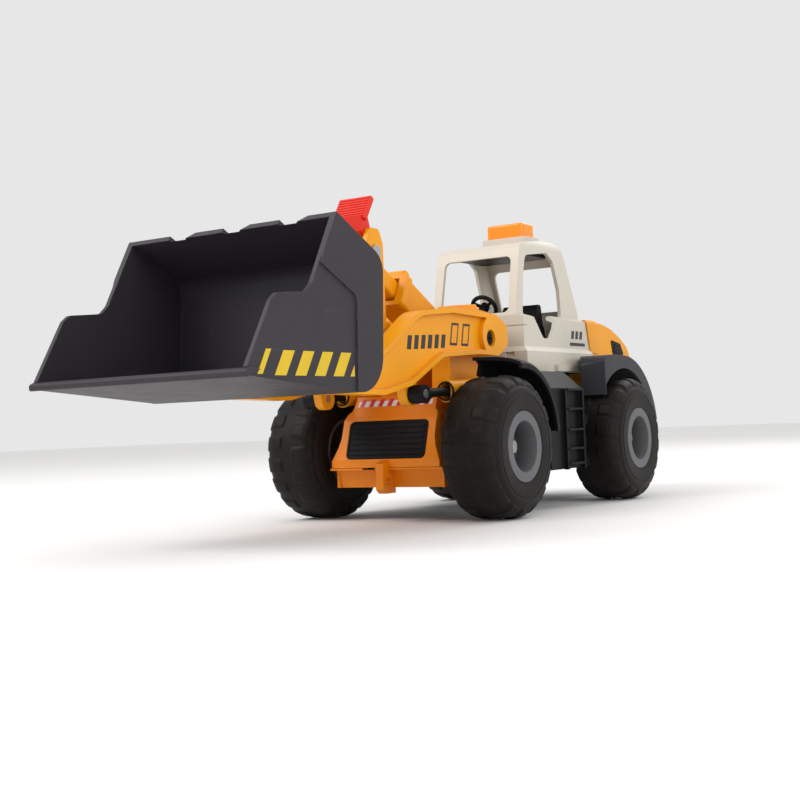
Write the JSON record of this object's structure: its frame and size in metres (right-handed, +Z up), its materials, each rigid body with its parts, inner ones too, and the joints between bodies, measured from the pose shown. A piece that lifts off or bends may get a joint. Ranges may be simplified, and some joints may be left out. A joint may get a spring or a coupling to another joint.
{
  "type": "toy front loader",
  "caption": "Push-along toy wheel loader with a lifting boom, a tipping bucket worked by a lever and bell crank, rolling wheels, an open cab and a push lamp.",
  "frame": {"origin": "on the ground below the middle of the bounding box", "axes": "+X to the vehicle left, +Y to its rear, +Z up"},
  "size_m": [0.2012, 0.62, 0.2415],
  "materials": {
    "yellow_plastic": "semi-gloss moulded plastic",
    "orange_plastic": "semi-gloss moulded plastic",
    "cream_plastic": "satin moulded plastic",
    "black_plastic": "satin moulded plastic",
    "grey_plastic": "satin moulded plastic",
    "bucket_plastic": "satin moulded plastic",
    "red_plastic": "semi-gloss moulded plastic",
    "rim_plastic": "satin moulded plastic",
    "tyre": "soft matt plastic",
    "amber_lens": "clear amber plastic",
    "red_lens": "clear red plastic",
    "led": "diffused lamp",
    "steel": "plain steel",
    "battery_can": "wrapped cell",
    "board": "circuit board",
    "speaker_cone": "paper cone on a steel pot"
  },
  "bodies": {
    "chassis": {"batteries": "battery_can", "battery_cover": "black_plastic", "body_screws": "steel", "cab_floor": "black_plastic", "cab_shell": "cream_plastic", "chassis_tub": "black_plastic", "dashboard": "black_plastic", "engine_hood": "yellow_plastic", "front_body": "orange_plastic", "front_bumper": "orange_plastic", "front_fender_left": "black_plastic", "front_fender_right": "black_plastic", "front_grille": "black_plastic", "hood_vents": "black_plastic", "lamp_base": "cream_plastic", "lamp_led": "led", "lamp_spring": "steel", "rear_bumper": "grey_plastic", "rear_fender_left": "grey_plastic", "rear_fender_right": "grey_plastic", "roof_liner": "black_plastic", "seat": "black_plastic", "side_block_left": "black_plastic", "side_block_right": "black_plastic", "sound_board": "board", "speaker": "speaker_cone", "tail_lamps": "red_lens", "tower_cover": "yellow_plastic", "tower_pins": "steel"},
    "front_axle": {"front_axle_shaft": "steel", "front_tyre_left": "tyre", "front_tyre_right": "tyre", "front_rim_left": "rim_plastic", "front_rim_right": "rim_plastic"},
    "rear_axle": {"rear_axle_shaft": "steel", "rear_tyre_left": "tyre", "rear_tyre_right": "tyre", "rear_rim_left": "rim_plastic", "rear_rim_right": "rim_plastic"},
    "boom": {"boom_arm_left": "yellow_plastic", "boom_arm_right": "yellow_plastic", "boom_cross_tie": "yellow_plastic", "crank_shaft": "steel", "boom_pins": "steel", "boom_screws": "black_plastic"},
    "bucket": {"bucket": "bucket_plastic", "cutting_edge": "bucket_plastic", "bucket_link_pin": "steel"},
    "bell_crank": {"bell_crank": "yellow_plastic", "crank_top_pin": "steel", "tilt_lever": "red_plastic"},
    "tilt_link": {"tilt_link": "yellow_plastic"},
    "tilt_tube": {"tilt_tube": "yellow_plastic"},
    "tilt_rod": {"tilt_rod": "yellow_plastic"},
    "lift_tube_left": {"lift_tube_left": "yellow_plastic"},
    "lift_tube_right": {"lift_tube_right": "yellow_plastic"},
    "lift_rod_left": {"lift_rod_left": "black_plastic"},
    "lift_rod_right": {"lift_rod_right": "black_plastic"},
    "steering_wheel": {"steering_wheel": "black_plastic"},
    "beacon_lens": {"beacon_lens": "amber_lens"}
  },
  "joints": [
    {"name": "boom_lift", "type": "hinge", "parent": "chassis", "child": "boom", "pos_m": [0, 0.031, 0.135], "axis": [-1, 0, 0], "range_deg": [-17, 28]},
    {"name": "bucket_tilt", "type": "hinge", "parent": "boom", "child": "bucket", "pos_m": [0, -0.165, 0.105], "axis": [1, 0, 0], "range_deg": [-16, 42]},
    {"name": "crank_turn", "type": "hinge", "parent": "boom", "child": "bell_crank", "pos_m": [0, -0.08, 0.135], "axis": [1, 0, 0], "range_deg": [-16.3, 42.3]},
    {"name": "link_swing", "type": "hinge", "parent": "bell_crank", "child": "tilt_link", "pos_m": [0, -0.08, 0.195], "axis": [1, 0, 0], "range_deg": [-42.3, 16.3]},
    {"name": "tilt_rod_swing", "type": "hinge", "parent": "bell_crank", "child": "tilt_rod", "pos_m": [0, -0.08, 0.195], "axis": [1, 0, 0], "range_deg": [-31.17, 12.06]},
    {"name": "tilt_tube_swing", "type": "hinge", "parent": "boom", "child": "tilt_tube", "pos_m": [0, 0.031, 0.135], "axis": [1, 0, 0], "range_deg": [-4.54, 11.43]},
    {"name": "lift_tube_swing_left", "type": "hinge", "parent": "chassis", "child": "lift_tube_left", "pos_m": [0.0465, 0.034, 0.098], "axis": [-1, 0, 0], "range_deg": [-16.65, 27.24]},
    {"name": "lift_rod_swing_left", "type": "hinge", "parent": "boom", "child": "lift_rod_left", "pos_m": [0.0465, -0.075, 0.092], "axis": [-1, 0, 0], "range_deg": [-1.36, 0.95]},
    {"name": "lift_tube_swing_right", "type": "hinge", "parent": "chassis", "child": "lift_tube_right", "pos_m": [-0.0465, 0.034, 0.098], "axis": [-1, 0, 0], "range_deg": [-16.65, 27.24]},
    {"name": "lift_rod_swing_right", "type": "hinge", "parent": "boom", "child": "lift_rod_right", "pos_m": [-0.0465, -0.075, 0.092], "axis": [-1, 0, 0], "range_deg": [-1.36, 0.95]},
    {"name": "front_axle_spin", "type": "hinge", "parent": "chassis", "child": "front_axle", "pos_m": [0, -0.0205, 0.052], "axis": [1, 0, 0], "continuous": true},
    {"name": "rear_axle_spin", "type": "hinge", "parent": "chassis", "child": "rear_axle", "pos_m": [0, 0.1905, 0.052], "axis": [1, 0, 0], "continuous": true},
    {"name": "steering_turn", "type": "hinge", "parent": "chassis", "child": "steering_wheel", "pos_m": [0, 0.107, 0.1665], "axis": [0, 0.809, 0.5878], "continuous": true},
    {"name": "beacon_press", "type": "slide", "parent": "chassis", "child": "beacon_lens", "axis": [0, 0, -1], "range_m": [0, 0.002], "stiffness_N_per_m": 600, "springref_m": -0.0006, "deforming": ["lamp_spring"]}
  ],
  "couplings": [
    {"joint": "crank_turn", "follows": "bucket_tilt", "ratio": 1},
    {"joint": "link_swing", "follows": "bucket_tilt", "ratio": -1},
    {"joint": "tilt_rod_swing", "follows": "bucket_tilt", "ratio": -0.735},
    {"joint": "tilt_tube_swing", "follows": "bucket_tilt", "ratio": 0.265},
    {"joint": "lift_tube_swing_left", "follows": "boom_lift", "ratio": 0.962},
    {"joint": "lift_rod_swing_left", "follows": "boom_lift", "ratio": -0.038},
    {"joint": "lift_tube_swing_right", "follows": "boom_lift", "ratio": 0.962},
    {"joint": "lift_rod_swing_right", "follows": "boom_lift", "ratio": -0.038}
  ]
}
